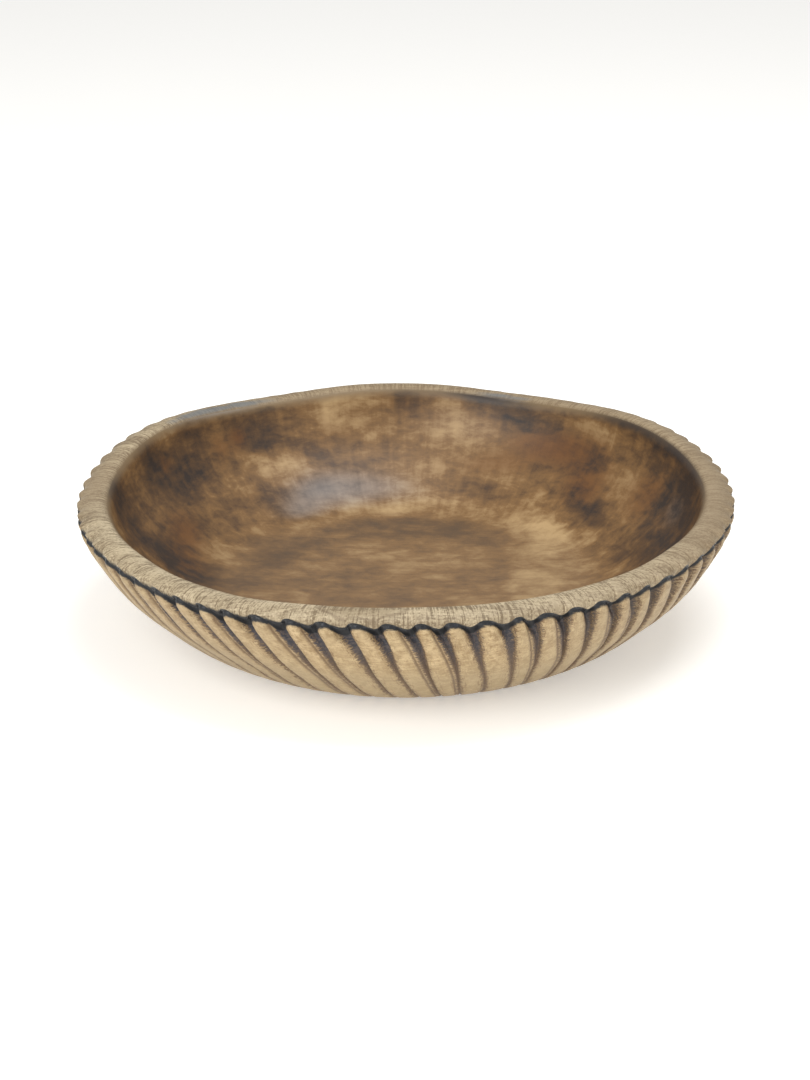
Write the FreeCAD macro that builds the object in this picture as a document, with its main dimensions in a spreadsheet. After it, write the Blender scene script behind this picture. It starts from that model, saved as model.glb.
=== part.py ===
"""Carved wooden bowl: one fluted block of wood that stands on four felt pads.

Millimetres. +Z is up, the origin is on the table under the middle of the bowl, and the flutes lean
anticlockwise (seen from above) on their way down the wall. The low side of the rim faces -Y.
"""
import FreeCAD, Part
import Sketcher

import math
import os

from FreeCAD import Placement, Rotation, Vector

SIZES = {
    # The turned blank, measured from the wooden foot up.
    "blank_radius": (201.4, "outer wall at the top of the blank, before the rim is cut"),
    "blank_height": (97, "top of the blank above the foot"),
    "wall_slope": (42.3, "degrees from level on the straight part of the wall"),
    "shoulder_radius": (87, "outer arc from the straight wall up to the rim"),
    "wall_straight": (19, "length of the straight part of the outer wall"),
    "heel_radius": (95, "outer arc from the foot up to the straight wall"),
    # The hollow.
    "hollow_radius": (182.8, "inner wall at the top of the blank"),
    "hollow_shoulder": (70, "inner arc under the rim"),
    "hollow_straight": (19, "length of the straight part of the inner wall"),
    "hollow_corner": (56, "inner arc between the wall and the floor"),
    "floor_thickness": (14, "wood under the middle of the hollow"),
    # The rim: a crowned band whose height rolls round the bowl.
    "rim_height": (85.3, "mean height of the crown above the foot"),
    "crown_radius": (188.7, "where the band is highest"),
    "crown_half_width": (11.3, "from the crown out to the rim's edge"),
    "crown_drop": (4.3, "fall from the crown to the rim's edge"),
    # The flutes.
    "flute_count": (70, "gouge passes round the wall"),
    "flute_sway": (0.7, "degrees that the spacing wanders, four times round"),
    "flute_jitter": (0.4, "degrees that one flute strays from its place"),
    "twist_angle": (8.8, "degrees a flute travels round on its way down"),
    "gouge_top": (4.6, "gouge radius at the rim"),
    "gouge_foot": (2.2, "gouge radius near the foot"),
    "depth_top": (3.2, "depth of cut at the rim"),
    "depth_foot": (0.5, "depth of cut near the foot"),
    # The felt pads.
    "pad_diameter": (20, "felt disc"),
    "pad_thickness": (2, "felt disc"),
    "pad_circle": (100, "radius on which the pads are stuck"),
    "pad_count": (4, "pads under the foot"),
}

# The rim rolls in waves: how many go round, and the height (mm) and a peak's angle (degrees from +X) of each.
RIM_WAVES = {1: (4.2, 67), 2: (1.3, -30), 3: (1.1, -92), 6: (1.1, -90), 7: (0.5, -111)}
RIM_STEP = 6  # degrees between the points that a ring of the rim goes through
RIM_RINGS = (-1.5, -0.7, 0, 0.7, 1.5)  # rings of the rim's surface, in half widths out from the crown

# A gouge pass is guided by stations where the wall heads at these angles from level.
SHOULDER_HEADINGS = (92, 80, 68, 56)
HEEL_HEADINGS = (34, 26, 19)

# The first flute is cut almost at the front, and its neighbours follow anticlockwise (degrees from +X).
FIRST_FLUTE = -89.85
SWAY_WAVES, SWAY_PEAK = 4, -85
FIRST_PAD = 45

os.makedirs("parts", exist_ok=True)
doc = FreeCAD.newDocument("carved_bowl")


def make_sheet():
    """Put every driving dimension in one sheet, one aliased cell each."""
    sheet = doc.addObject("Spreadsheet::Sheet", "Sizes")
    for row, (name, (value, note)) in enumerate(SIZES.items(), start=1):
        sheet.set(f"A{row}", name)
        sheet.set(f"B{row}", str(value))
        sheet.set(f"C{row}", note)
        sheet.setAlias(f"B{row}", name)
    doc.recompute()
    return sheet


sheet = make_sheet()


def size(name):
    return float(sheet.get(name))


def rotated(degrees):
    return Rotation(Vector(0, 0, 1), degrees)


# ---------------------------------------------------------------- wall arcs

def heading_vector(degrees):
    return Vector(math.cos(math.radians(degrees)), math.sin(math.radians(degrees)), 0)


def outward_vector(degrees):
    """Normal of the wall, on its outer side, where the section heads at this angle."""
    return Vector(math.sin(math.radians(degrees)), -math.cos(math.radians(degrees)), 0)


def wall_section(top_radius, shoulder, straight, corner):
    """Corners and centres of an arc, line, arc wall; x is the radius and y the height."""
    slope = size("wall_slope")
    shoulder_centre = Vector(top_radius - shoulder, size("blank_height"), 0)
    high = shoulder_centre + outward_vector(slope) * shoulder
    low = high - heading_vector(slope) * straight
    corner_centre = low - outward_vector(slope) * corner
    return shoulder_centre, high, low, corner_centre


def outer_section():
    return wall_section(size("blank_radius"), size("shoulder_radius"),
                        size("wall_straight"), size("heel_radius"))


def inner_section():
    return wall_section(size("hollow_radius"), size("hollow_shoulder"),
                        size("hollow_straight"), size("hollow_corner"))


def arc(centre, radius, from_heading, to_heading):
    """Arc that turns anticlockwise between two headings."""
    circle = Part.Circle(centre, Vector(0, 0, 1), radius)
    turn = math.radians(-90)
    return Part.ArcOfCircle(circle, math.radians(from_heading) + turn, math.radians(to_heading) + turn)


# ---------------------------------------------------------------- sketches

def origin_plane(body, role):
    return next(item for item in body.Origin.OriginFeatures if item.Role == role)


def new_sketch(body, name, role):
    sketch = body.newObject("Sketcher::SketchObject", name)
    sketch.AttachmentSupport = (origin_plane(body, role), [""])
    sketch.MapMode = "FlatFace"
    return sketch


def bind(sketch, name, constraint, alias):
    """Add a dimension and tie it to a cell of the sheet."""
    index = sketch.addConstraint(constraint)
    sketch.renameConstraint(index, name)
    sketch.setExpression(f"Constraints.{name}", f"Sizes.{alias}")


def join(sketch, first, first_end, second, second_end, kind="Coincident"):
    sketch.addConstraint(Sketcher.Constraint(kind, first, first_end, second, second_end))


def wall_chain(sketch, section, radii, low_heading, names):
    """Add the corner arc, the straight and the shoulder arc, tangent to each other."""
    slope = size("wall_slope")
    shoulder_centre, high, low, corner_centre = section
    shoulder, corner = (size(alias) for alias in radii)
    low_arc = sketch.addGeometry(arc(corner_centre, corner, low_heading, slope))
    straight = sketch.addGeometry(Part.LineSegment(low, high))
    high_arc = sketch.addGeometry(arc(shoulder_centre, shoulder, slope, 90))
    join(sketch, low_arc, 2, straight, 1, "Tangent")
    join(sketch, straight, 2, high_arc, 1, "Tangent")
    shoulder_name, straight_name, corner_name = names
    bind(sketch, shoulder_name, Sketcher.Constraint("Radius", high_arc, shoulder), radii[0])
    bind(sketch, corner_name, Sketcher.Constraint("Radius", low_arc, corner), radii[1])
    bind(sketch, straight_name, Sketcher.Constraint("Distance", straight, 1, straight, 2,
                                                    size(straight_name)), straight_name)
    return low_arc, straight, high_arc


def blank_sketch(body):
    """Half section of the blank: foot, outer wall, blank top, inner wall, floor and axis."""
    sketch = new_sketch(body, "blank_section", "XZ_Plane")
    slope, top = size("wall_slope"), size("blank_height")
    outer, inner = outer_section(), inner_section()

    heel = size("heel_radius")
    foot_heading = math.degrees(math.acos(outer[3].y / heel))
    foot_corner = outer[3] + outward_vector(foot_heading) * heel

    # The floor is an arc centred on the axis and tangent to the hollow's corner arc.
    corner, corner_centre = size("hollow_corner"), inner[3]
    drop = size("floor_thickness") - corner_centre.y
    dish = (corner ** 2 - corner_centre.x ** 2 - drop ** 2) / (2 * (drop + corner))
    dish_centre = Vector(0, size("floor_thickness") + dish, 0)
    floor_heading = math.degrees(math.atan2(corner_centre.x, dish_centre.y - corner_centre.y))

    foot = sketch.addGeometry(Part.LineSegment(Vector(0, 0, 0), foot_corner))
    heel_arc, outer_line, outer_arc = wall_chain(sketch, outer, ("shoulder_radius", "heel_radius"),
                                                 foot_heading,
                                                 ("shoulder_radius", "wall_straight", "heel_radius"))
    rim = sketch.addGeometry(Part.LineSegment(Vector(size("blank_radius"), top, 0),
                                              Vector(size("hollow_radius"), top, 0)))
    corner_arc, inner_line, inner_arc = wall_chain(sketch, inner, ("hollow_shoulder", "hollow_corner"),
                                                   floor_heading,
                                                   ("hollow_shoulder", "hollow_straight", "hollow_corner"))
    floor = sketch.addGeometry(arc(dish_centre, dish, 0, floor_heading))
    axis = sketch.addGeometry(Part.LineSegment(Vector(0, size("floor_thickness"), 0), Vector(0, 0, 0)))

    join(sketch, foot, 1, -1, 1)
    join(sketch, foot, 2, heel_arc, 1)
    join(sketch, outer_arc, 2, rim, 1)
    join(sketch, rim, 2, inner_arc, 2)
    join(sketch, corner_arc, 1, floor, 2, "Tangent")
    join(sketch, floor, 1, axis, 1)
    join(sketch, axis, 2, foot, 1)
    sketch.addConstraint(Sketcher.Constraint("Horizontal", foot))
    sketch.addConstraint(Sketcher.Constraint("Horizontal", rim))
    sketch.addConstraint(Sketcher.Constraint("Vertical", axis))
    sketch.addConstraint(Sketcher.Constraint("PointOnObject", floor, 3, -2))
    for arc_at_top in (outer_arc, inner_arc):
        sketch.addConstraint(Sketcher.Constraint("Horizontal", arc_at_top, 3, arc_at_top, 2))
    sketch.addConstraint(Sketcher.Constraint("Parallel", outer_line, inner_line))

    bind(sketch, "wall_slope", Sketcher.Constraint("Angle", outer_line, math.radians(slope)), "wall_slope")
    bind(sketch, "blank_height", Sketcher.Constraint("DistanceY", -1, 1, rim, 1, top), "blank_height")
    for name, point in (("blank_radius", 1), ("hollow_radius", 2)):
        bind(sketch, name, Sketcher.Constraint("DistanceX", -1, 1, rim, point, size(name)), name)
    bind(sketch, "floor_thickness",
         Sketcher.Constraint("DistanceY", -1, 1, axis, 1, size("floor_thickness")), "floor_thickness")
    return sketch


def turned_blank():
    """The bowl as it leaves the lathe: hollowed, with a plain wall and spare height at the rim."""
    body = doc.addObject("PartDesign::Body", "turned_blank")
    sketch = blank_sketch(body)
    doc.recompute()
    turn = body.newObject("PartDesign::Revolution", "turn")
    turn.Profile = sketch
    turn.ReferenceAxis = (sketch, ["V_Axis"])
    turn.Angle = 360
    doc.recompute()
    return body


# ---------------------------------------------------------------- rim

def rim_wave(degrees):
    """Height of the crown above its mean, at this angle from +X."""
    return sum(height * math.cos(order * math.radians(degrees - peak))
               for order, (height, peak) in RIM_WAVES.items())


def crown_ring(radius):
    """Closed curve on the rim's surface at one radius."""
    across = (radius - size("crown_radius")) / size("crown_half_width")
    level = size("rim_height") - size("crown_drop") * across ** 2
    points = []
    for degrees in range(0, 360, RIM_STEP):
        x, y = radius * math.cos(math.radians(degrees)), radius * math.sin(math.radians(degrees))
        points.append(Vector(x, y, level + rim_wave(degrees)))
    curve = Part.BSplineCurve()
    curve.interpolate(Points=points, PeriodicFlag=True)
    return Part.Wire(curve.toShape())


def rim_cutter():
    """Everything above the rim's rolling, crowned surface."""
    crown, reach = size("crown_radius"), size("crown_half_width")
    radii = [crown + reach * step for step in RIM_RINGS]
    skin = Part.makeLoft([crown_ring(radius) for radius in radii], False)
    cutter = doc.addObject("Part::Feature", "rim_cutter")
    cutter.Shape = skin.Faces[0].extrude(Vector(0, 0, size("blank_height") / 2))
    return cutter


# ---------------------------------------------------------------- flutes

def flute_stations():
    """Points down the outer wall as (radius, height, heading), from above the rim to the heel."""
    shoulder_centre, high, low, corner_centre = outer_section()
    slope = size("wall_slope")
    stations = []
    for heading in SHOULDER_HEADINGS:
        stations.append((shoulder_centre + outward_vector(heading) * size("shoulder_radius"), heading))
    stations.append(((high + low) * 0.5, slope))
    for heading in HEEL_HEADINGS:
        stations.append((corner_centre + outward_vector(heading) * size("heel_radius"), heading))
    return stations


def blend(name, share):
    """A size that changes evenly from its value at the top to its value at the foot."""
    top, foot = size(name + "_top"), size(name + "_foot")
    return top + (foot - top) * share


def gouge():
    """One tapering gouge pass down the wall, starting over +X."""
    stations = flute_stations()
    rings = []
    for index, (point, heading) in enumerate(stations):
        share = index / (len(stations) - 1)
        radius = blend("gouge", share)
        centre = point + outward_vector(heading) * (radius - blend("depth", share))
        turn = rotated(size("twist_angle") * share)
        along = heading_vector(heading)
        place = turn.multVec(Vector(centre.x, 0, centre.y))
        axis = turn.multVec(Vector(along.x, 0, along.y))
        rings.append(Part.Wire(Part.makeCircle(radius, place, axis)))
    return Part.makeLoft(rings, True)


def flute_azimuth(number):
    """Angle of one flute at the rim; hand spacing is slightly uneven."""
    even = FIRST_FLUTE + number * 360 / size("flute_count")
    sway = size("flute_sway") * math.cos(math.radians(SWAY_WAVES * (even - SWAY_PEAK)))
    stray = size("flute_jitter") * math.sin(2.7 * number + 1.3 * math.sin(1.9 * number))
    return even + sway + stray


def flute_cutters():
    pass_shape = gouge()
    passes = []
    for number in range(int(size("flute_count"))):
        turned = pass_shape.copy()
        turned.Placement = Placement(Vector(0, 0, 0), rotated(flute_azimuth(number)))
        passes.append(turned)
    cutters = doc.addObject("Part::Feature", "flute_cutters")
    cutters.Shape = Part.makeCompound(passes)
    return cutters


def cut(base, tool, name):
    feature = doc.addObject("Part::Cut", name)
    feature.Base = base
    feature.Tool = tool
    doc.recompute()
    return feature


def carved_bowl():
    """The blank with its rim cut to the wave and its wall fluted, standing on the pads."""
    blank = turned_blank()
    rimmed = cut(blank, rim_cutter(), "rimmed_blank")
    body = cut(rimmed, flute_cutters(), "bowl_body")
    body.setExpression("Placement.Base.z", "Sizes.pad_thickness")
    print("blank, rimmed, fluted volume (cm3):",
          [round(item.Shape.Volume / 1000, 1) for item in (blank, rimmed, body)])
    return body


# ---------------------------------------------------------------- felt pads

def felt_pad(number):
    """A felt disc stuck under the foot, halfway between the front, back and sides."""
    pad = doc.addObject("Part::Cylinder", f"felt_pad_{number}")
    pad.setExpression("Radius", "Sizes.pad_diameter / 2")
    pad.setExpression("Height", "Sizes.pad_thickness")
    angle = FIRST_PAD + (number - 1) * 360 / size("pad_count")
    pad.setExpression("Placement.Base.x", f"Sizes.pad_circle * cos({angle} deg)")
    pad.setExpression("Placement.Base.y", f"Sizes.pad_circle * sin({angle} deg)")
    return pad


# ---------------------------------------------------------------- build and write

parts = [carved_bowl()]
parts += [felt_pad(number + 1) for number in range(int(size("pad_count")))]
for part in parts:
    part.Label = part.Name
doc.recompute()

for item in doc.Objects:
    if "Invalid" in item.State or "Error" in item.State:
        raise RuntimeError(f"{item.Name} failed: {item.State}")
for part in parts:
    if part.Shape.isNull() or not part.Shape.isValid():
        raise RuntimeError(f"{part.Label} has no valid shape")
for part in parts:
    part.Shape.exportStep(os.path.join("parts", part.Label + ".step"))
    box = part.Shape.BoundBox
    print(f"{part.Label:12s} solids {len(part.Shape.Solids)}  faces {len(part.Shape.Faces):4d}"
          f"  x {box.XMin:.1f} {box.XMax:.1f}  y {box.YMin:.1f} {box.YMax:.1f}"
          f"  z {box.ZMin:.1f} {box.ZMax:.1f}")
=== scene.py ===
"""Carved wooden bowl: one fluted, torched block of mango wood on four felt pads, and its stage.

Metres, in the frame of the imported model: +Z is up, the origin is on the table under the middle of
the bowl, and the low side of the rim faces -Y. Bearings are measured from +X, anticlockwise from above.
"""

import math

import bpy
import numpy as np
from bpy.props import FloatProperty, FloatVectorProperty, IntProperty, PointerProperty
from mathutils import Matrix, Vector


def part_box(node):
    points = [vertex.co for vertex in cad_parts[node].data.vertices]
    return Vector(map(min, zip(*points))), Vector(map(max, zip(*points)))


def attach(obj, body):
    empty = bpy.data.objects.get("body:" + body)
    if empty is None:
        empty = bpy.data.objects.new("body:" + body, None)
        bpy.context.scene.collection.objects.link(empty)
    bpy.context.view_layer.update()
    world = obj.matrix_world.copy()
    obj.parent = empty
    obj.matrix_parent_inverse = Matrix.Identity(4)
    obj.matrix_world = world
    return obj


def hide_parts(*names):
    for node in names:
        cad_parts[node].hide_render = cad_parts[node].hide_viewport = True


bl_info = {
    "name": "Carved Bowl",
    "version": (1, 0, 0),
    "blender": (4, 5, 0),
    "location": "View3D > Sidebar > Carved Bowl",
    "description": "Carves a fluted wooden bowl, its felt pads and a plain stage",
    "category": "Add Mesh",
}

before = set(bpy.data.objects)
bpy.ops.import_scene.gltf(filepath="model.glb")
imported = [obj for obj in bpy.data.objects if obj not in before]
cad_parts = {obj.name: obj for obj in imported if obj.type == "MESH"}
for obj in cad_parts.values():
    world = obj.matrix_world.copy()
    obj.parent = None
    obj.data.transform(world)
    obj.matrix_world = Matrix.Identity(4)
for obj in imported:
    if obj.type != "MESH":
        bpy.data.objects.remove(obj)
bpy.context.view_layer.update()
PAD_LOW, PAD_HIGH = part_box("felt_pad_1")

MM = 0.001


# ---------------------------------------------------------------- settings

def linear(hex_colour):
    """Turn an sRGB hex colour into the linear values that shaders work in."""
    channels = (int(hex_colour[start:start + 2], 16) / 255 for start in (1, 3, 5))
    return tuple(c / 12.92 if c <= 0.04045 else ((c + 0.055) / 1.055) ** 2.4 for c in channels)


def length(description, millimetres):
    """A length setting, given in millimetres and kept in metres."""
    return FloatProperty(description=description, default=millimetres * MM, min=0.0, precision=4,
                         subtype="DISTANCE", unit="LENGTH")


def angle(description, degrees):
    """An angle setting, given in degrees and kept in radians."""
    return FloatProperty(description=description, default=math.radians(degrees), subtype="ANGLE",
                         unit="ROTATION")


def colour(description, hex_colour):
    """A colour setting, given as sRGB hex."""
    return FloatVectorProperty(description=description, default=linear(hex_colour), min=0.0, max=1.0,
                               size=3, subtype="COLOR")


class BowlSizes(bpy.types.PropertyGroup):
    """Sizes of the turned, hollowed and fluted block; heights are above the wooden foot."""

    blank_radius: length("Outer wall at the top of the blank", 201.4)
    blank_height: length("Top of the blank above the foot", 97)
    wall_slope: angle("Angle from level on the straight part of the wall", 42.3)
    shoulder_radius: length("Outer arc from the straight wall up to the rim", 87)
    wall_straight: length("Straight part of the outer wall", 19)
    heel_radius: length("Outer arc from the foot up to the straight wall", 95)
    hollow_radius: length("Inner wall at the top of the blank", 182.8)
    hollow_shoulder: length("Inner arc under the rim", 70)
    hollow_straight: length("Straight part of the inner wall", 19)
    hollow_corner: length("Inner arc between the wall and the floor", 56)
    floor_thickness: length("Wood under the middle of the hollow", 14)
    rim_height: length("Mean height of the crown", 85.3)
    crown_radius: length("Where the rim's band is highest", 188.7)
    crown_half_width: length("From the crown out to the rim's edge", 11.3)
    crown_drop: length("Fall from the crown to the rim's edge", 4.3)
    outer_easing: length("Reach of the rounding at the rim's outer edge", 2.6)
    inner_easing: length("Reach of the rounding at the rim's inner edge", 5.5)
    flute_count: IntProperty(description="Gouge passes round the wall", default=70, min=8)
    flute_depth: length("Deepest cut between two ribs", 3.4)
    rib_swell: length("How far a rib stands proud just under the edge", 0.6)
    twist: angle("How far a flute travels round on its way down", 8.8)
    tip_rounding: length("How much lower the corners of a rib's tip start", 3.5)
    edge_dip: length("How far the burnt edge drops between two ribs", 5.4)
    edge_tooth: length("How far the edge steps out and in round the bowl", 1.6)
    groove_width: length("Burnt groove under the edge, across", 2.7)
    groove_depth: length("Burnt groove under the edge, down", 1.2)
    hand_ripple: length("Unevenness left by hand sanding", 0.25)


class PadSizes(bpy.types.PropertyGroup):
    """Sizes of the felt pads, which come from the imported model."""

    diameter: length("Felt disc, across", (PAD_HIGH.x - PAD_LOW.x) / MM)
    thickness: length("Felt disc, through", (PAD_HIGH.z - PAD_LOW.z) / MM)
    edge_radius: length("Worn, rounded edge of the disc", 0.6)
    fuzz: length("Height of the loose fibres", 0.12)


class BowlColours(bpy.types.PropertyGroup):
    """Colours of the wood's finishes and of the felt."""

    rim_light: colour("Limed wood of the rim, pale streaks", "#C5B494")
    rim_dark: colour("Limed wood of the rim, grain lines", "#77664D")
    # Painted shade: the colour laid over the rim's sides and back.
    rim_shade_colour: colour("Where the lime has been rubbed off", "#857054")
    rim_knot: colour("Growth figure round a knot", "#7E6B4E")
    rim_ring: colour("Dark line round the knot, and cross marks by the edge", "#6B5840")
    # Blue grey laid over patches of the rim.
    rim_blue_grey: colour("Milky wax on the rim", "#646B70")
    lip_brown: colour("Where the rim turns into the hollow", "#7F6A4C")
    edge_black: colour("Burnt edge", "#14161A")
    edge_grey: colour("Scuffed parts of the burnt edge", "#2C3038")
    rib_light: colour("Sanded crests of the ribs", "#CAB187")
    rib_dark: colour("Grain lines of the ribs", "#957A52")
    rib_low: colour("Ribs towards the foot", "#A6936F")
    rib_grey: colour("Ribs dulled by soot", "#8C7D66")
    torn_brown: colour("Torn fibres and the steps between two cuts", "#70522F")
    fringe_brown: colour("Singed border of a valley", "#5C442C")
    valley_top: colour("Charred valleys under the edge", "#2E3038")
    valley_ash: colour("Ash in the charred valleys", "#544A48")
    valley_low: colour("Scorched valleys towards the foot", "#4C3826")
    valley_tan: colour("Bare fibres in the scorched valleys", "#6E5642")
    hollow_mid: colour("Stained wood of the hollow", "#7F5F39")
    hollow_light: colour("Worn, paler patches of the hollow", "#B6986C")
    # Also used for a painted sheen on the lower back wall of the hollow.
    hollow_deep: colour("Deeper brown between mid and scorched", "#5A422A")
    hollow_dark: colour("Scorched patches of the hollow", "#352B25")
    hollow_rust: colour("Reddish toasted spots", "#6F4722")
    hollow_floor: colour("Dulled finish on the floor of the hollow", "#97826A")
    # Painted sheen: the milky blue grey laid where the hollow's lacquer reflects the light.
    hollow_sheen_paint: colour("Milky lacquer in the hollow", "#8E8E8E")
    foot_brown: colour("Oiled wood under the foot", "#8A7050")
    felt_brown: colour("Pressed wool felt", "#473A30")


class StageSettings(bpy.types.PropertyGroup):
    """Camera and floor of the stage."""

    camera_elevation: angle("Angle of view above the table", 21.5)
    camera_distance: length("From the camera to the aim point", 1500)
    aim_height: length("Height above the table that the camera looks at", 50.2)
    lens: FloatProperty(description="Focal length in millimetres", default=80.7, min=1.0, unit="CAMERA")
    floor_colour: colour("Matt white floor", "#F3F2EF")
    floor_size: length("Side of the floor", 20000)


# ---------------------------------------------------------------- section of the bowl

ARC_STEPS = 48


def outward(heading):
    """Normal of a wall, on its outer side, where its section heads at this angle from level."""
    return np.array((math.sin(heading), -math.cos(heading)))


def along(heading):
    """Direction of a wall where its section heads at this angle from level."""
    return np.array((math.cos(heading), math.sin(heading)))


def arc_points(centre, radius, low, high):
    """Points of an arc of a section between two headings."""
    headings = np.linspace(low, high, ARC_STEPS)[:, None]
    return centre + radius * np.hstack((np.sin(headings), -np.cos(headings)))


def wall_centres(size, top_radius, shoulder, straight, corner):
    """Centres of the shoulder arc and of the corner arc, with a straight between them."""
    shoulder_centre = np.array((top_radius - shoulder, size.blank_height))
    high = shoulder_centre + shoulder * outward(size.wall_slope)
    low = high - straight * along(size.wall_slope)
    return shoulder_centre, low - corner * outward(size.wall_slope)


class Run:
    """A line up a section, as (radius, height) points at known distances from its low end."""

    def __init__(self, *pieces):
        self.points = np.vstack(pieces)
        steps = np.hypot(*np.diff(self.points, axis=0).T)
        self.lengths = np.concatenate(([0.0], np.cumsum(steps)))

    def at(self, distance):
        """Radius and height at distances from the low end."""
        radius = np.interp(distance, self.lengths, self.points[:, 0])
        return radius, np.interp(distance, self.lengths, self.points[:, 1])

    def at_height(self, height):
        """Distance from the low end at which the line reaches a height."""
        return np.interp(height, self.points[:, 1], self.lengths)


def outer_run(size):
    """From the middle of the foot, out and up the outer wall."""
    shoulder_centre, heel_centre = wall_centres(size, size.blank_radius, size.shoulder_radius,
                                                size.wall_straight, size.heel_radius)
    foot_heading = math.acos(heel_centre[1] / size.heel_radius)
    heel = arc_points(heel_centre, size.heel_radius, foot_heading, size.wall_slope)
    shoulder = arc_points(shoulder_centre, size.shoulder_radius, size.wall_slope, math.radians(90))
    return Run([(0.0, 0.0)], heel, shoulder), heel[0][0]


def inner_run(size):
    """From the middle of the floor, out and up the wall of the hollow."""
    shoulder_centre, corner_centre = wall_centres(size, size.hollow_radius, size.hollow_shoulder,
                                                  size.hollow_straight, size.hollow_corner)
    drop = size.floor_thickness - corner_centre[1]
    corner = size.hollow_corner
    dish = (corner ** 2 - corner_centre[0] ** 2 - drop ** 2) / (2 * (drop + corner))
    dish_centre = np.array((0.0, size.floor_thickness + dish))
    floor_heading = math.atan2(corner_centre[0], dish_centre[1] - corner_centre[1])
    floor = arc_points(dish_centre, dish, 0.0, floor_heading)
    bend = arc_points(corner_centre, corner, floor_heading, size.wall_slope)
    shoulder = arc_points(shoulder_centre, size.hollow_shoulder, size.wall_slope, math.radians(90))
    return Run(floor, bend[1:], shoulder)


# The rim rolls in waves: how many go round, the height (mm) and the bearing of a peak (degrees).
RIM_WAVES = ((1, 4.2, 67), (2, 1.3, -30), (3, 1.1, -92), (6, 1.1, -90), (7, 0.5, -111))
# Rounds of trial after which the height where a wall meets the rim has settled.
MEETING_ROUNDS = 8


def rim_wave(bearing):
    """Height of the crown above its mean."""
    return sum(height * MM * np.cos(order * (bearing - math.radians(peak)))
               for order, height, peak in RIM_WAVES)


def crown_level(size, radius, wave):
    """Height of the rim's crowned surface."""
    across = (radius - size.crown_radius) / size.crown_half_width
    return size.rim_height + wave - size.crown_drop * across ** 2


def meet_rim(run, size, wave):
    """Distance along a wall at which it meets the rim, for each wave height."""
    height = size.rim_height + wave
    for _ in range(MEETING_ROUNDS):
        radius, _ = run.at(run.at_height(height))
        height = crown_level(size, radius, wave)
    return run.at_height(height)


# ---------------------------------------------------------------- flutes

# One flute across, from the middle of its valley to the next: how far across it each column of the mesh
# stands at the rim and at the foot, how much of the depth is cut there, and how far the edge dips.
FLUTE_COLUMNS = (
    (0.000, 0.000, 1.00, 0.92),
    (0.040, 0.012, 0.97, 0.76),
    (0.080, 0.028, 0.70, 0.55),
    (0.115, 0.048, 0.26, 0.34),
    (0.160, 0.090, 0.05, 0.14),
    (0.240, 0.210, 0.00, 0.02),
    (0.330, 0.370, 0.00, 0.00),
    (0.430, 0.540, 0.01, 0.05),
    (0.520, 0.690, 0.05, 0.17),
    (0.600, 0.800, 0.12, 0.35),
    (0.680, 0.875, 0.30, 0.57),
    (0.760, 0.925, 0.58, 0.78),
    (0.840, 0.958, 0.84, 0.93),
    (0.925, 0.984, 0.98, 1.00),
)
# The same columns where a second, shallow pass has left a step on the right flank.
TERRACE_DEPTHS = (1.00, 0.97, 0.70, 0.26, 0.05, 0.00, 0.00, 0.02, 0.08, 0.40, 0.34, 0.38, 0.70, 0.97)
# The depth among them where the step stands, and where the middle of a rib's tip stands across the flute.
STEP_DEPTH = 0.40
TIP_MIDDLE = 0.4

# Where a valley's two sides stand across the flute, at the rim and at the foot.
BORDER_LEFT = (0.10, 0.045)
BORDER_RIGHT = (0.72, 0.905)

# Bearing of the first flute, and how far the others sway (in waves round the bowl) and stray, in degrees.
FIRST_FLUTE = -89.85
SWAY_WAVES, SWAY_PEAK, SWAY = 4, -85, 0.7
JITTER = 0.4
# On its way down, each flute wanders by up to this many degrees, in a wave that is this many radians long
# from rim to foot and full from this share of the wall on.
WANDER, WANDER_WAVE, WANDER_FULL = 0.28, 7.0, 0.25
# Share of the wall by which a flute has taken on its shape at the foot.
NARROWED = 0.52
FLUTE_SEED = 11
# Some flutes were cut in two passes. Cuts differ in depth, and valleys in width.
TWO_PASS_SHARE = 0.38
DEPTH_RANGE = (0.82, 1.18)
WIDENING = (-0.045, 0.05)
# The edge was burnt with a bolder wave on the left of the front: bearing and reach in degrees, and how much.
BOLD_EDGE = (215, 34, 0.15)

# Distances from the rim's outer edge (mm), above it below 0. The dips of the edge, and its teeth, each start
# at the first, are full from the second to the third and end at the fourth.
DIP_REACH = (-7, -1, 4, 20)
TOOTH_REACH = (-7, 0, 6, 24)
# How far (mm) below the edge a rib's tip is fully rounded, and how far in from it the sanded ripple starts
# and is full.
TIP_REACH = 4
RIPPLE_REACH = (2, 8)
# Lengths (mm per radian) of the ripple: its waves along X and Y, and the waves that bend or weaken them.
RIPPLE_X, RIPPLE_Y = (11, 17), (9, 23)
# Corners are rounded by a mean over this many points. Halfway over the rim, and this far (mm) to each side,
# the inner edge's rounding gives way to the outer's.
EASING_POINTS = 9
EASING_CHANGE = 3
# Distance (mm) to each side over which the slope of the section is taken.
SLOPE_STEP = 0.2
# Rows this close (mm) to the rim's edges keep their spacing, and the rest stretch to fit the wall.
FIXED_ROWS = 20
# Past these distances (mm) from the rim's inner edge and from the wall's end, rows keep one column in
# this many.
THINNING = ((8.5, 2, 2), (100, 20, 4))


def flute_bearings(size):
    """Bearing of each valley at the rim; hand spacing is slightly uneven."""
    number = np.arange(size.flute_count)
    even = FIRST_FLUTE + number * 360 / size.flute_count
    sway = SWAY * np.cos(np.radians(SWAY_WAVES * (even - SWAY_PEAK)))
    # Sines whose pattern does not repeat round the bowl.
    stray = JITTER * np.sin(2.7 * number + 1.3 * np.sin(1.9 * number))
    return np.radians(even + sway + stray)


def eased(values, low, high):
    """0 at low, 1 at high, with a soft start and end."""
    share = np.clip((values - low) / (high - low), 0.0, 1.0)
    return share * share * (3 - 2 * share)


def near(degrees, centre, reach):
    """1 at a bearing, falling away on both sides of it."""
    return np.exp(-((degrees - centre) / reach) ** 2)


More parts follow.
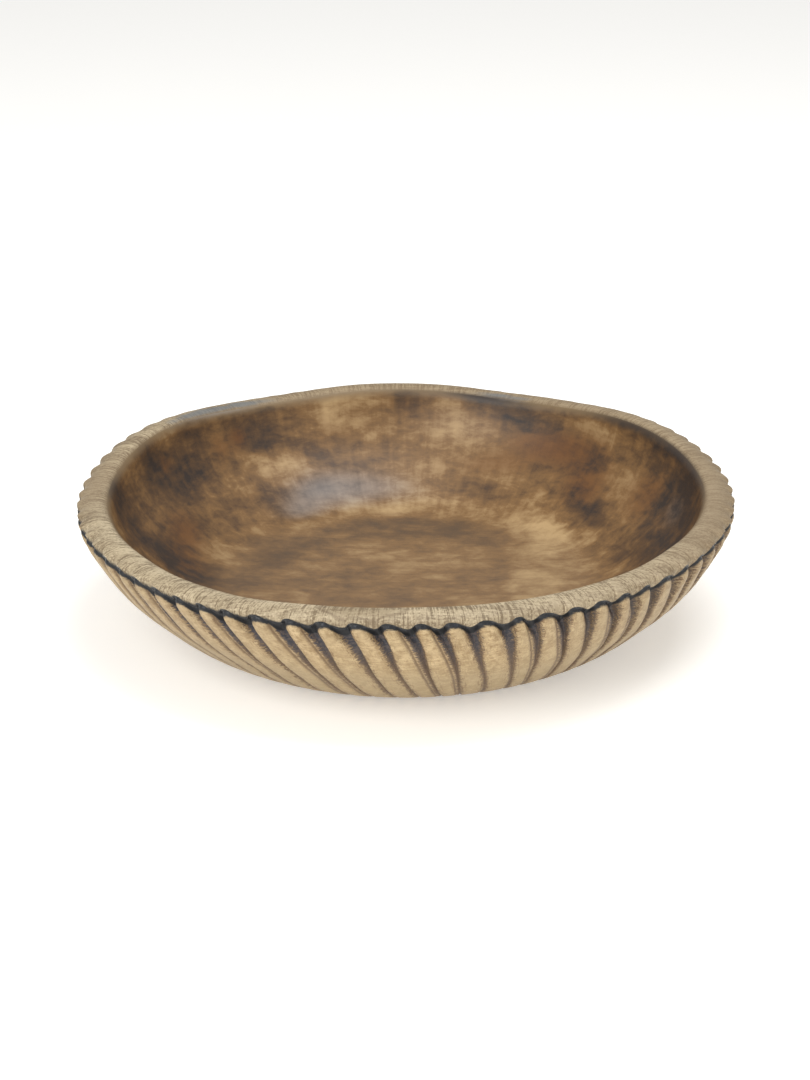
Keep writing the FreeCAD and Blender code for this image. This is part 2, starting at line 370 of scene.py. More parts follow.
def between(values, start, full, fading, end):
    """0 up to start, 1 from full to fading and 0 from end on, with soft slopes."""
    return eased(values, start, full) * (1 - eased(values, fading, end))


class Carving:
    """Positions and tool marks of the bowl's grid: one row per path position, one column per phase."""

    def __init__(self, size):
        self.size = size
        self.random = np.random.default_rng(FLUTE_SEED)
        self.flutes = size.flute_count
        self.wall, self.foot_radius = outer_run(size)
        self.hollow = inner_run(size)
        table = np.array(FLUTE_COLUMNS)
        self.per_flute = len(table)
        self.columns = self.flutes * self.per_flute
        self.flute_of = np.repeat(np.arange(self.flutes), self.per_flute)
        self.top_phase, self.foot_phase, cut, self.dip = np.tile(table, (self.flutes, 1)).T
        two_passes = self.random.random(self.flutes) < TWO_PASS_SHARE
        terrace = np.tile(TERRACE_DEPTHS, self.flutes)
        self.cut = np.where(two_passes[self.flute_of], terrace, cut)
        self.crease = two_passes[self.flute_of] * (terrace == STEP_DEPTH)
        self.depth_scale = self.random.uniform(*DEPTH_RANGE, self.flutes)
        self.tone = self.random.uniform(0.0, 1.0, self.flutes)
        # A rib's tip is rounded: its two corners start lower than its middle.
        self.corner = np.clip(np.abs(self.top_phase - TIP_MIDDLE) / TIP_MIDDLE, 0, 1) ** 3
        self.vary_widths()
        self.place_rim()

    def vary_widths(self):
        """Make each valley a little wider or narrower than the last."""
        widening = self.random.uniform(*WIDENING, self.flutes)[self.flute_of]
        self.top_phase = self.top_phase + widening * np.sin(2 * math.pi * self.top_phase)

    def place_rim(self):
        """Find the rim's two edges in every column."""
        starts = flute_bearings(self.size)
        self.valley_starts = starts
        self.gaps = np.diff(np.append(starts, starts[0] + 2 * math.pi))
        bearing = starts[self.flute_of] + self.gaps[self.flute_of] * self.top_phase
        wave = rim_wave(bearing)
        self.wave = wave
        self.wall_edge = meet_rim(self.wall, self.size, wave)
        self.hollow_edge = meet_rim(self.hollow, self.size, wave)
        self.outer_radius, _ = self.wall.at(self.wall_edge)
        self.inner_radius, _ = self.hollow.at(self.hollow_edge)
        self.rim_width = float(np.mean(self.outer_radius - self.inner_radius))
        self.wall_length = float(np.mean(self.wall_edge)) - self.foot_radius
        self.hollow_length = float(np.mean(self.hollow_edge))

    def rows(self):
        """Distances of the rows from the edge, below 0 over the rim and into the hollow.

        Each group is named for what it covers. Rows crowd together where the surface bends most.
        """
        rim = self.rim_width
        inner_end = rim + self.hollow_length
        floor = -np.linspace(inner_end - 4 * MM, rim + 92 * MM, 24)
        wall = -np.linspace(rim + 88 * MM, rim + 8 * MM, 23)
        lip = -np.linspace(rim + 6.4 * MM, rim - 4 * MM, 9)
        band = -np.linspace(rim - 5.4 * MM, 4.4 * MM, 8)
        edge = np.linspace(-3.4, 5.0, 21) * MM
        ribs = np.array((5.7, 6.6, 7.8, 9.4, 11.5)) * MM
        flutes = np.linspace(14 * MM, self.wall_length, 34)
        foot = self.wall_length + np.array((1.2, 4, 12, 28, 50, 75, 98, 115)) * MM
        return np.concatenate((floor, wall, lip, band, edge, ribs, flutes, foot))

    def strides(self, rows):
        """One column in how many each row keeps: the floor and the foot need fewer."""
        stride = np.ones(len(rows), dtype=int)
        for past_rim, past_wall, step in THINNING:
            on_floor = rows < -(self.rim_width + past_rim * MM)
            stride[on_floor | (rows > self.wall_length + past_wall * MM)] = step
        return stride

    def path(self, rows):
        """Path position of every vertex: rows follow the dipping edge, then settle to even spacing."""
        by_edge = between(rows, *(np.array(DIP_REACH) * MM))
        centre, reach, extra = BOLD_EDGE
        degrees = np.degrees(self.valley_starts[self.flute_of]) % 360
        bolder = 1 + extra * near(degrees, centre, reach)
        dips = self.size.edge_dip * bolder * self.dip * by_edge[:, None]
        fixed = FIXED_ROWS * MM
        outer = np.clip(rows - fixed, 0, self.wall_length - fixed)
        outer_stretch = (self.wall_edge - self.foot_radius - fixed) / (self.wall_length - fixed) - 1
        beyond = np.clip(-rows - self.rim_width - fixed, 0, None)
        inner_stretch = (self.hollow_edge - fixed) / (self.hollow_length - fixed) - 1
        return (rows[:, None] + dips + outer[:, None] * outer_stretch[None, :]
                - beyond[:, None] * inner_stretch[None, :])

    def plain_section(self, path):
        """Radius and height with square corners and no flutes."""
        outer = self.wall.at(self.wall_edge - path)
        inner = self.hollow.at(self.hollow_edge + path + self.rim_width)
        across = np.clip(-path / self.rim_width, 0, 1)
        rim_radius = self.outer_radius + (self.inner_radius - self.outer_radius) * across
        rim_height = crown_level(self.size, rim_radius, self.wave)
        on_rim = (path <= 0) & (path >= -self.rim_width)
        radius = np.where(on_rim, rim_radius, np.where(path > 0, outer[0], inner[0]))
        height = np.where(on_rim, rim_height, np.where(path > 0, outer[1], inner[1]))
        return radius, height

    def eased_section(self, path):
        """The section with its corners rounded, by averaging a short way along it."""
        middle = -self.rim_width / 2
        share = eased(path, middle - EASING_CHANGE * MM, middle + EASING_CHANGE * MM)
        reach = self.size.inner_easing + (self.size.outer_easing - self.size.inner_easing) * share
        taps = [self.plain_section(path + offset * reach) for offset in np.linspace(-1, 1, EASING_POINTS)]
        return tuple(sum(values) / EASING_POINTS for values in zip(*taps))

    def bearing(self, rows):
        """Bearing of every vertex: valleys twist and wander on their way down the wall."""
        share = np.clip(rows / self.wall_length, 0, 1)[:, None]
        wander_phase = self.random.uniform(0, 2 * math.pi, self.flutes)
        wander = math.radians(WANDER) * np.sin(share * WANDER_WAVE + wander_phase)
        wander = wander * eased(share, 0.0, WANDER_FULL)
        valley = self.valley_starts + self.size.twist * share + wander
        following = np.roll(valley, -1, axis=1)
        following[:, -1] += 2 * math.pi
        phase = self.top_phase + (self.foot_phase - self.top_phase) * self.narrowing(share)
        start = valley[:, self.flute_of]
        return start + (following[:, self.flute_of] - start) * phase

    def narrowing(self, share):
        """How far a flute's section has changed from its shape at the rim to its shape at the foot."""
        return eased(share, 0.0, NARROWED)

    def borders(self, rows, radius):
        """Distance from the nearer side of a valley: above 0 in the valley and below 0 on the rib."""
        share = self.narrowing(np.clip(rows / self.wall_length, 0, 1))[:, None]
        phase = self.top_phase + (self.foot_phase - self.top_phase) * share
        left = BORDER_LEFT[0] + (BORDER_LEFT[1] - BORDER_LEFT[0]) * share
        right = BORDER_RIGHT[0] + (BORDER_RIGHT[1] - BORDER_RIGHT[0]) * share
        wrapped = np.where(phase > 0.5, phase - 1, phase)
        in_valley = np.minimum(left - wrapped, wrapped - (right - 1))
        on_rib = -np.minimum(phase - left, right - phase)
        inside = (phase < left) | (phase > right)
        return np.where(inside, in_valley, on_rib) * self.gaps[self.flute_of] * radius

    def valley_profile(self, rows):
        """Depth of the middle of a valley, row by row."""
        at = np.array((-8, -1, 0, 0.45, 1.1, 2.2, 4, 12, 28, 50, 80, 126, 134)) * MM
        share = (0, 0.03, 0.06, -0.25, -0.6, -0.86, -0.97, -1.0, -0.82, -0.5, -0.3, -0.14, 0.0)
        return self.size.flute_depth * np.interp(rows, at, share)

    def rib_profile(self, rows):
        """Height of a rib's crest: a groove under the edge, then a rounded tip that stands proud."""
        width, deep, swell = self.size.groove_width, self.size.groove_depth, self.size.rib_swell
        at = np.array((-4, -0.6, 0, 0.16, 0.4, 0.75, 1.0, 1.45, 2.1, 3.4, 6, 11, 60)) * width
        height = (0, 0.12 * swell, 0.4 * swell, -0.5 * deep, -deep, -0.85 * deep, -0.5 * deep,
                  0.15 * swell, 0.8 * swell, swell, 0.6 * swell, 0, 0)
        return np.interp(rows, at, height)

    def ripple(self, radius, bearing):
        """Slow unevenness of the sanded rim and hollow: the mean of two waves."""
        x, y = radius * np.cos(bearing), radius * np.sin(bearing)
        along_x = np.sin(x / (RIPPLE_X[0] * MM) + 1.3 * np.sin(y / (RIPPLE_X[1] * MM)))
        along_y = np.sin(y / (RIPPLE_Y[0] * MM) + 0.7) * np.sin(x / (RIPPLE_Y[1] * MM) + 2.1)
        return self.size.hand_ripple * (along_x + along_y) / 2

    def relief(self, rows, radius, bearing):
        """Distance of every vertex out of the plain section, along its normal."""
        cut = self.cut[None, :]
        depth = self.depth_scale[self.flute_of][None, :]
        rounded = eased(rows, 0, TIP_REACH * MM)[:, None]
        below_tip = rows[:, None] - self.size.tip_rounding * self.corner * rounded
        carved = (self.valley_profile(rows)[:, None] * cut * depth
                  + self.rib_profile(below_tip) * (1 - cut))
        sanded = eased(-rows, *(np.array(RIPPLE_REACH) * MM))[:, None]
        return carved + self.ripple(radius, bearing) * sanded

    def grid(self, rows):
        """Coordinates of every vertex, as three arrays of rows by columns."""
        path = self.path(rows)
        radius, height = self.eased_section(path)
        step = SLOPE_STEP * MM
        ahead, behind = self.eased_section(path + step), self.eased_section(path - step)
        run, rise = ahead[0] - behind[0], ahead[1] - behind[1]
        length_of_step = np.maximum(np.hypot(run, rise), 1e-9)
        bearing = self.bearing(rows)
        relief = self.relief(rows, radius, bearing)
        tooth_reach = between(rows, *(np.array(TOOTH_REACH) * MM))
        tooth = self.size.edge_tooth * (1 - 2 * self.dip)[None, :] * tooth_reach[:, None]
        radius = radius - rise / length_of_step * relief + tooth
        height = height + run / length_of_step * relief
        return radius * np.cos(bearing), radius * np.sin(bearing), height


# ---------------------------------------------------------------- scorching of the hollow

# Patches on the wall and floor of the hollow: bearing (degrees), distance down from the rim, half width
# round the bowl, half height down the wall (mm) and strength.
SCORCHED = (
    (145, 31, 26, 16, 0.8), (157, 14, 13, 14, 0.6), (141, 9, 18, 8, 0.55), (177, 12, 20, 14, 0.7),
    (178, 45, 15, 34, 0.85), (178, 92, 22, 18, 0.6), (160, 60, 34, 30, 0.35), (113, 34, 8, 14, 0.35),
    (90, 7, 12, 8, 0.5), (73, 1, 26, 4, 0.9), (66, 11, 22, 7, 0.45), (54, 26, 30, 13, 0.45),
    (71, 46, 26, 10, 0.2), (70, 66, 18, 7, 0.35), (44, 26, 18, 12, 0.3), (42, 53, 16, 16, 0.4),
    (35, 68, 15, 12, 0.6), (6, 20, 46, 24, 0.9), (2, 58, 26, 16, 0.6), (-9, 46, 30, 26, 0.7),
    (35, 2, 40, 4, 0.8), (17, 4, 28, 7, 0.75), (144, 100, 16, 10, 0.3), (83, 106, 65, 7, 0.6),
    (100, 122, 40, 5, 0.45), (62, 118, 22, 7, 0.35), (150, 118, 24, 8, 0.4), (115, 64, 14, 7, 0.45),
    (-150, 30, 40, 26, 0.7), (-118, 50, 34, 20, 0.45), (-84, 24, 40, 14, 0.6), (-55, 52, 30, 20, 0.5),
    (-34, 22, 36, 18, 0.7), (-110, 120, 30, 16, 0.3),
)
PALE = (
    (104, 9, 28, 12, 0.6), (80, 7, 16, 7, 0.5), (76, 33, 20, 12, 0.45), (65, 56, 14, 10, 0.35),
    (48, 88, 20, 16, 0.6), (36, 102, 26, 24, 0.7), (158, 90, 24, 14, 0.55), (150, 2, 18, 6, 0.75),
    # The patch at bearing 95, 90 mm down, is painted sheen: a paler band where the lower back wall catches
    # the light.
    (34, 37, 16, 12, 0.35), (45, 12, 26, 8, 0.45), (95, 90, 50, 12, 0.4), (-20, 120, 60, 30, 0.45),
    (-90, 130, 60, 24, 0.35), (-130, 86, 30, 20, 0.4), (-70, 78, 34, 18, 0.45), (-100, 8, 30, 8, 0.4),
    (120, 50, 20, 14, 0.3),
)
TOASTED = (
    (129, 19, 6, 6, 0.9), (134, 24, 10, 10, 0.5), (161, 62, 20, 14, 0.7), (152, 20, 8, 8, 0.6),
    (54, 28, 34, 13, 0.85), (68, 47, 26, 9, 0.5), (42, 50, 18, 18, 0.7), (22, 38, 20, 18, 0.6),
    (174, 70, 20, 16, 0.5), (88, 12, 22, 10, 0.35), (108, 30, 16, 12, 0.3), (-128, 40, 14, 12, 0.6),
    (-62, 30, 16, 10, 0.6),
)
# Painted sheen: milky blue-grey patches in the hollow stand in for the light's reflection on its lacquer.
# Where the distance down is below 0 they lay blue grey on the rim.
SHEEN_AND_HAZE = ((112, 66, 34, 15, 0.6), (98, 72, 30, 12, 0.4), (121, 80, 16, 8, 0.5), (133, -4, 44, 5, 0.9),
           (68, -3, 22, 4, 0.7), (8, 30, 18, 12, 0.3))
# Growth figure that shows on the rim where the block was cut across a knot.
KNOTS = ((-97, -9, 19, 5, 1.0),)
# Painted shade on the rim: it is made browner and darker round its sides and back, away from the front,
# where the key light falls.
SHADED_RIM = ((-5, -8, 120, 60, 0.95), (60, -8, 120, 60, 0.9), (110, -8, 120, 60, 0.8), (178, -8, 50, 60, 0.7))
# A darker field beside a straight edge, where the torch was masked: the bearings, and the distances down
# from the rim (mm), at which it starts, is full, fades and ends.
FIELD_BEARINGS = (118.6, 119.4, 127, 139)
FIELD_DOWN = (0, 3, 26, 38)
FIELD_STRENGTH = 0.42
# How sharply a patch falls away: this leaves half of its strength at its half width.
PATCH_FALL = 0.7

# Sides of the bowl that the torch left different: bearing and reach (degrees), then how much soot and grey
# each adds and how much char it lacks. The rest of the bowl has the base soot.
SIDES = ((190, 38, 1.25, 0.4, 0.0), (236, 26, 0.7, 0.22, 0.0), (328, 32, 0.0, 0.4, 0.45))
BASE_SOOT = 0.25
# How far (mm) smoke reaches over the rim where the soot is 1, and its strength above the ribs against 1
# above the valleys.
SMOKE_RISE = 2.2
SMOKE_ON_RIBS = 0.35


def patches(table, radius, bearing, down):
    """How strongly each vertex is covered by a set of patches."""
    bare = np.ones_like(down)
    for centre, centre_down, half_width, half_height, strength in table:
        turn = bearing - math.radians(centre)
        turn = (turn + math.pi) % (2 * math.pi) - math.pi
        across = turn * radius / (half_width * MM)
        height = (down - centre_down * MM) / (half_height * MM)
        bare *= 1 - strength * np.exp(-PATCH_FALL * (across ** 2 + height ** 2))
    return 1 - bare


def masked_field(bearing, down):
    """How strongly each vertex is covered by the masked field."""
    sides = between(np.degrees(bearing) % 360, *FIELD_BEARINGS)
    return FIELD_STRENGTH * sides * between(down, *(np.array(FIELD_DOWN) * MM))


def side_marks(bearing):
    """Soot, grey and char, from what each side of the bowl adds or lacks."""
    soot, greyed, charred = BASE_SOOT, 0.0, 1.0
    for centre, reach, more_soot, more_grey, less_char in SIDES:
        there = near(np.degrees(bearing) % 360, centre, reach)
        soot = soot + more_soot * there
        greyed = greyed + more_grey * there
        charred = charred - less_char * there
    return soot, greyed, charred


def surface_marks(carving, rows, x, y):
    """Values that the finishes read from the mesh, one number per vertex."""
    radius, bearing = np.hypot(x, y), np.arctan2(y, x)
    down = np.broadcast_to(rows[:, None], radius.shape)
    inside = -down - carving.rim_width
    soot, greyed, charred = side_marks(bearing)
    above_edge = np.clip(-down, 0, None) / (soot * SMOKE_RISE * MM)
    tables = {"sheen_and_haze": SHEEN_AND_HAZE, "knot": KNOTS, "rim_shade": SHADED_RIM, "scorched": SCORCHED, "pale": PALE,
              "toasted": TOASTED}
    marks = {name: patches(table, radius, bearing, inside) for name, table in tables.items()}
    marks["scorched"] = np.maximum(marks["scorched"], masked_field(bearing, inside))
    marks["down"] = down / MM
    marks["border"] = carving.borders(rows, radius) / MM
    by_column = {"corner": carving.corner, "crease": carving.crease,
                 "flute_tone": carving.tone[carving.flute_of]}
    marks.update({name: np.broadcast_to(values, radius.shape) for name, values in by_column.items()})
    marks["soot"] = soot
    marks["smoke"] = np.exp(-above_edge ** 2) * (SMOKE_ON_RIBS + (1 - SMOKE_ON_RIBS) * carving.dip)
    marks["greyed"] = greyed
    marks["charred"] = charred
    return marks


# ---------------------------------------------------------------- mesh of the bowl

HOLLOW, RIM, EDGE, FLUTES, FOOT = range(5)
# How far (mm) a row may stand before the place where a finish starts.
ROW_TOLERANCE = 0.1


def ring_faces(start, count, next_start, next_count):
    """Faces between two rings with as many vertices, or where one has twice as many as the other."""
    steps = min(count, next_count)
    here, there = count // steps, next_count // steps
    faces = []
    for step in range(steps):
        ring = [start + (here * step + turn) % count for turn in range(here + 1)]
        next_ring = [next_start + (there * step + turn) % next_count for turn in range(there + 1)]
        faces.append((ring[0], *next_ring, *reversed(ring[1:])))
    return faces


def finish_zone(carving, row):
    """Which finish the strip that starts at a row takes."""
    slack = ROW_TOLERANCE * MM
    if row < -carving.rim_width - slack:
        return HOLLOW
    if row < -slack:
        return RIM
    if row < carving.size.groove_width:
        return EDGE
    if row < carving.wall_length - slack:
        return FLUTES
    return FOOT


def skin(carving, rows, counts):
    """Faces from the floor's middle, over the rim and to the foot's middle, with their finishes."""
    starts = np.concatenate(([0], np.cumsum(counts))).tolist()
    floor_middle, foot_middle = starts[-1], starts[-1] + 1
    first, last, last_start = counts[0], counts[-1], starts[-2]
    faces = [(floor_middle, k, (k + 1) % first) for k in range(first)]
    zones = [HOLLOW] * first
    for row in range(len(rows) - 1):
        strip = ring_faces(starts[row], counts[row], starts[row + 1], counts[row + 1])
        faces += strip
        zones += [finish_zone(carving, rows[row])] * len(strip)
    faces += [(last_start + k, foot_middle, last_start + (k + 1) % last) for k in range(last)]
    zones += [FOOT] * last
    return faces, zones


def smooth_mesh(name, points, faces):
    """A mesh with smooth faces."""
    mesh = bpy.data.meshes.new(name)
    mesh.from_pydata(points.tolist(), [], faces)
    mesh.polygons.foreach_set("use_smooth", [True] * len(faces))
    return mesh


def bowl_mesh(size, raise_by):
    """The carved bowl as one closed mesh, with its surface marks and a finish for every strip."""
    carving = Carving(size)
    rows = carving.rows()
    x, y, z = carving.grid(rows)
    z = z + raise_by
    picks = [np.arange(0, carving.columns, stride) for stride in carving.strides(rows)]

    def gather(grid, *middles):
        """Values of the vertices in use, then of the middles of the floor and of the foot."""
        used = np.concatenate([grid[row, pick] for row, pick in enumerate(picks)])
        return np.append(used, middles or (used[0], used[-1]))

    points = np.stack((gather(x, 0, 0), gather(y, 0, 0), gather(z, z[0].mean(), raise_by)), axis=1)
    faces, zones = skin(carving, rows, [len(pick) for pick in picks])
    mesh = smooth_mesh("carved_bowl", points, faces)
    mesh.polygons.foreach_set("material_index", zones)
    for name, values in surface_marks(carving, rows, x, y).items():
        data = mesh.attributes.new(name, "FLOAT", "POINT").data
        data.foreach_set("value", gather(values).astype(np.float32))
    mesh.validate()
    mesh.update()
    return mesh


# ---------------------------------------------------------------- finishes

# Radius near the rim at which radial strokes have their stated width, in mm.
RIM_REACH = 190


def add(tree, kind, inputs=None, stops=(), **settings):
    """Add one node: settings are its properties, and inputs are values or the sockets that feed it."""
    node = tree.nodes.new(kind)
    for name, value in settings.items():
        setattr(node, name, value)
    for key, value in (inputs or {}).items():
        if isinstance(value, bpy.types.NodeSocket):
            tree.links.new(value, node.inputs[key])
        elif node.inputs[key].type == "RGBA":
            node.inputs[key].default_value = (*value, 1.0)
        else:
            node.inputs[key].default_value = value
    for number, (position, value) in enumerate(stops):
        elements = node.color_ramp.elements
        element = elements[number] if number < 2 else elements.new(position)
        element.position = position
        element.color = (*value, 1.0)
    return node


def new_finish(name, *marks):
    """An empty material, its tree, coordinates in metres, and the surface marks that it reads."""
    material = bpy.data.materials.new(name)
    material.use_nodes = True
    tree = material.node_tree
    tree.nodes.clear()
    place = add(tree, "ShaderNodeTexCoord").outputs["Object"]
    read = {mark: add(tree, "ShaderNodeAttribute", attribute_name=mark).outputs["Fac"] for mark in marks}
    return material, tree, place, read


def flecks(tree, place, sizes, detail, roughness, waviness=0.0, unit=MM):
    """Soft marks, 0 to 1, that are this many millimetres (or other units) along X, Y and Z."""
    scale = tuple(1 / (size * unit) for size in sizes)
    scaled = add(tree, "ShaderNodeMapping", {"Vector": place, "Scale": scale})
    noise = add(tree, "ShaderNodeTexNoise", {"Vector": scaled.outputs[0], "Scale": 1.0, "Detail": detail,
                                             "Roughness": roughness, "Distortion": waviness})
    return noise.outputs["Fac"]


def wood_grain(tree, place, fibre_length, fibre_width, waviness=0.6):
    """The block's grain, with its fibres along X: fine fibres and broad growth figure, each 0 to 1."""
    fibre = flecks(tree, place, (fibre_length, fibre_width, fibre_width * 1.5), detail=5.0, roughness=0.65)
    return fibre, flecks(tree, place, (130, 9, 14), detail=3.0, roughness=0.55, waviness=waviness)


def radial_strokes(tree, place, width, stroke_length):
    """Short strokes, 0 to 1, that point to the bowl's axis and have this width near the rim."""
    flat = add(tree, "ShaderNodeVectorMath", {0: place, 1: (1.0, 1.0, 0.0)}, operation="MULTIPLY").outputs[0]
    heading = add(tree, "ShaderNodeVectorMath", {0: flat}, operation="NORMALIZE").outputs[0]
    reach = add(tree, "ShaderNodeVectorMath", {0: flat}, operation="LENGTH").outputs["Value"]
    inward = weigh(tree, (reach, 1 / (stroke_length * MM)))
    lift = add(tree, "ShaderNodeCombineXYZ", {"Z": inward}).outputs[0]
    turned = add(tree, "ShaderNodeVectorMath", {0: heading, 1: (RIM_REACH / width,) * 3, 2: lift},
                 operation="MULTIPLY_ADD").outputs[0]
    noise = add(tree, "ShaderNodeTexNoise", {"Vector": turned, "Scale": 1.0, "Detail": 3.0,
                                             "Roughness": 0.6})
    return noise.outputs["Fac"]


def weigh(tree, *parts, offset=0.0):
    """Sum of patterns, each times its weight."""
    total = offset
    for pattern, weight in parts:
        total = add(tree, "ShaderNodeMath", {0: pattern, 1: weight, 2: total},
                    operation="MULTIPLY_ADD").outputs[0]
    return total


def stain(tree, base, colour, strength, *places):
    """Lay a colour over a base; a place is a pattern, where on it the colour starts and where it is full."""
    share = strength
    for pattern, start, full in places:
        share = add(tree, "ShaderNodeMapRange", {0: pattern, 1: start, 2: full, 4: share},
                    interpolation_type="SMOOTHSTEP").outputs[0]
    return add(tree, "ShaderNodeMix", {0: share, 6: base, 7: colour}, data_type="RGBA").outputs[2]


def shade(colour, share):
    """A darker version of a colour."""
    return [channel * share for channel in colour]


def close_finish(tree, base, roughness, relief, relief_mm, **shader_inputs):
    """End a finish in one shader with its bump."""
    bump = add(tree, "ShaderNodeBump", {"Strength": 1.0, "Distance": relief_mm * MM, "Height": relief})
    inputs = {"Base Color": base, "Roughness": roughness, "Normal": bump.outputs[0]}
    inputs.update({name.replace("_", " "): value for name, value in shader_inputs.items()})
    shader = add(tree, "ShaderNodeBsdfPrincipled", inputs)
    add(tree, "ShaderNodeOutputMaterial", {"Surface": shader.outputs[0]})


def limed_mango(colours):
    """Rim: mango wood sanded smooth, limed and waxed.

    To the eye it is chalky and pale, with fine lines that run in from its outer edge. Its sides and back
    are painted browner and darker, as painted shade, and it is black where the burnt edge has bled into it.
    """
    material, tree, place, on = new_finish("limed_mango", "down", "rim_shade", "knot", "sheen_and_haze", "smoke",
                                           "scorched")
    # Mango fibres are under 0.5 mm wide: in every finish they are drawn wider, so that they show.
    fibre, figure = wood_grain(tree, place, fibre_length=26, fibre_width=0.8, waviness=0.15)
    lines = radial_strokes(tree, place, width=1.0, stroke_length=16)
    grain = weigh(tree, (fibre, 0.28), (figure, 0.2), (lines, 0.52))
    specks = flecks(tree, place, (1.3, 1.3, 1.3), detail=3.0, roughness=0.5)
    toned = weigh(tree, (grain, 0.82), (specks, 0.18))
    base = stain(tree, colours.rim_dark, colours.rim_light, 1.0, (toned, 0.435, 0.555))
    # Painted shade: the rim darkens round its sides and back, which face away from the key light.
    base = stain(tree, base, colours.rim_shade_colour, 0.7, (on["rim_shade"], 0, 1))
    base = stain(tree, base, colours.rim_knot, 0.45, (on["knot"], 0.3, 0.6))
    base = stain(tree, base, colours.rim_ring, 0.5, (on["knot"], 0.22, 0.32), (on["knot"], 0.46, 0.34))
    # Blue-grey patches on the rim, from the same patches that paint sheen in the hollow.
    haze = weigh(tree, (on["sheen_and_haze"], 1.0), (figure, 1.0), offset=-0.5)
    base = stain(tree, base, colours.rim_blue_grey, 0.75, (haze, 0.3, 0.8))
    base = stain(tree, base, colours.rim_ring, 0.55, (on["down"], -13, -1), (lines, 0.46, 0.62))
    bled = weigh(tree, (on["smoke"], 1.0), (lines, 0.5))
    base = stain(tree, base, colours.edge_black, 1.0, (bled, 0.62, 1.05))
    lip = stain(tree, colours.lip_brown, colours.hollow_dark, 1.0, (on["scorched"], 0, 1))
    to_hollow = weigh(tree, (on["down"], 1.0), (fibre, 3.0))
    base = stain(tree, base, lip, 1.0, (to_hollow, -13.4, -18.6))
    close_finish(tree, base, roughness=0.62, relief=grain, relief_mm=0.08)
    return material


def burnt_edge(colours):
    """Edge line: wood burnt with a hot iron, then waxed.

    To the eye it is blue-black and slightly glossy, with thin bright glints on its lip.
    """
    material, tree, place, _ = new_finish("burnt_edge")
    blisters = flecks(tree, place, (1.6, 1.6, 1.6), detail=3.0, roughness=0.5)
    base = stain(tree, colours.edge_black, colours.edge_grey, 1.0, (blisters, 0.45, 0.75))
    close_finish(tree, base, roughness=0.36, relief=blisters, relief_mm=0.5)
    return material


def sanded_ribs(tree, colours, on, grain):
    """Golden tan ribs, duller towards the foot and where soot has settled."""
    base = stain(tree, colours.rib_dark, colours.rib_light, 1.0, (grain, 0.43, 0.565))
    base = stain(tree, base, colours.rib_low, 0.55, (on["down"], 22, 62))
    base = stain(tree, base, colours.rib_low, 0.25, (on["flute_tone"], 0, 1))
    return stain(tree, base, colours.rib_grey, 1.0, (on["greyed"], 0, 1))


def charred_valleys(tree, colours, on, fibre, hairs):
    """Blue-black and ashy under the edge, brown towards the foot."""
    low = stain(tree, colours.valley_low, colours.valley_tan, 1.0, (hairs, 0.44, 0.6))
    top = stain(tree, colours.valley_top, colours.valley_ash, 1.0, (fibre, 0.42, 0.62))
    return stain(tree, low, top, 1.0, (on["down"], 54, 12))


# Strokes of the gouge: width and length (mm), and the change of a rib's tone that gives it other strokes.
GOUGE_STROKES = (0.9, 7, 0.025)


def gouge_strokes(tree, on):
    """Strokes, 0 to 1, that run down each rib with its twist."""
    travel = add(tree, "ShaderNodeCombineXYZ", {"X": on["border"], "Y": on["down"], "Z": on["flute_tone"]})
    return flecks(tree, travel.outputs[0], GOUGE_STROKES, detail=4.0, roughness=0.62, waviness=0.4, unit=1)


def torched_mango(colours):
    """Flutes: gouge-cut mango, torched all over and sanded back on the ribs.

    To the eye the ribs are golden tan with brown grain, the valleys are blue-black under the edge and fade
    to thin brown lines, and the two meet in a fringe of short hairs.
    """
    material, tree, place, on = new_finish("torched_mango", "down", "border", "corner", "crease", "soot",
                                           "flute_tone", "greyed", "charred")
    fibre, _ = wood_grain(tree, place, fibre_length=14, fibre_width=1.0)
    hairs = flecks(tree, place, (3.2, 1.0, 0.8), detail=3.0, roughness=0.7)
    mottle = flecks(tree, place, (6, 6, 6), detail=4.0, roughness=0.65)
    gouged = gouge_strokes(tree, on)
    grain = weigh(tree, (fibre, 0.2), (hairs, 0.25), (mottle, 0.25), (gouged, 0.3))
    base = sanded_ribs(tree, colours, on, grain)
    # Torn fibres are darkest beside a valley, and fray its border.
    torn = weigh(tree, (hairs, 0.4), (gouged, 0.6))
    base = stain(tree, base, colours.torn_brown, 0.3, (torn, 0.5, 0.59))
    base = stain(tree, base, colours.torn_brown, 0.85, (on["border"], -5.5, -0.5), (torn, 0.5, 0.59))
    frayed = weigh(tree, (on["border"], 1.0), (hairs, 9.0), offset=-4.5)
    base = stain(tree, base, colours.fringe_brown, 0.75, (frayed, -1.6, 0.2))
    base = stain(tree, base, colours.fringe_brown, 0.75, (on["crease"], 0, 1))
    # The char thins out down the wall.
    fading = weigh(tree, (on["down"], -1 / 300), offset=1.07)
    valleys = charred_valleys(tree, colours, on, fibre, hairs)
    base = stain(tree, base, valleys, fading, (on["charred"], 0, 1), (frayed, -0.2, 1.1))
    below_tip = weigh(tree, (on["down"], 1.0), (on["corner"], -4.0), (hairs, 2.6), (on["soot"], -0.9))
    base = stain(tree, base, colours.edge_black, 1.0, (below_tip, 5.6, 4.0))
    close_finish(tree, base, roughness=0.58, relief=grain, relief_mm=0.45)
    return material


# Where the hollow's wall starts to turn into its floor and where it has, as its rows' mark "down" (mm).
WALL_END, FLOOR_START = -92, -132


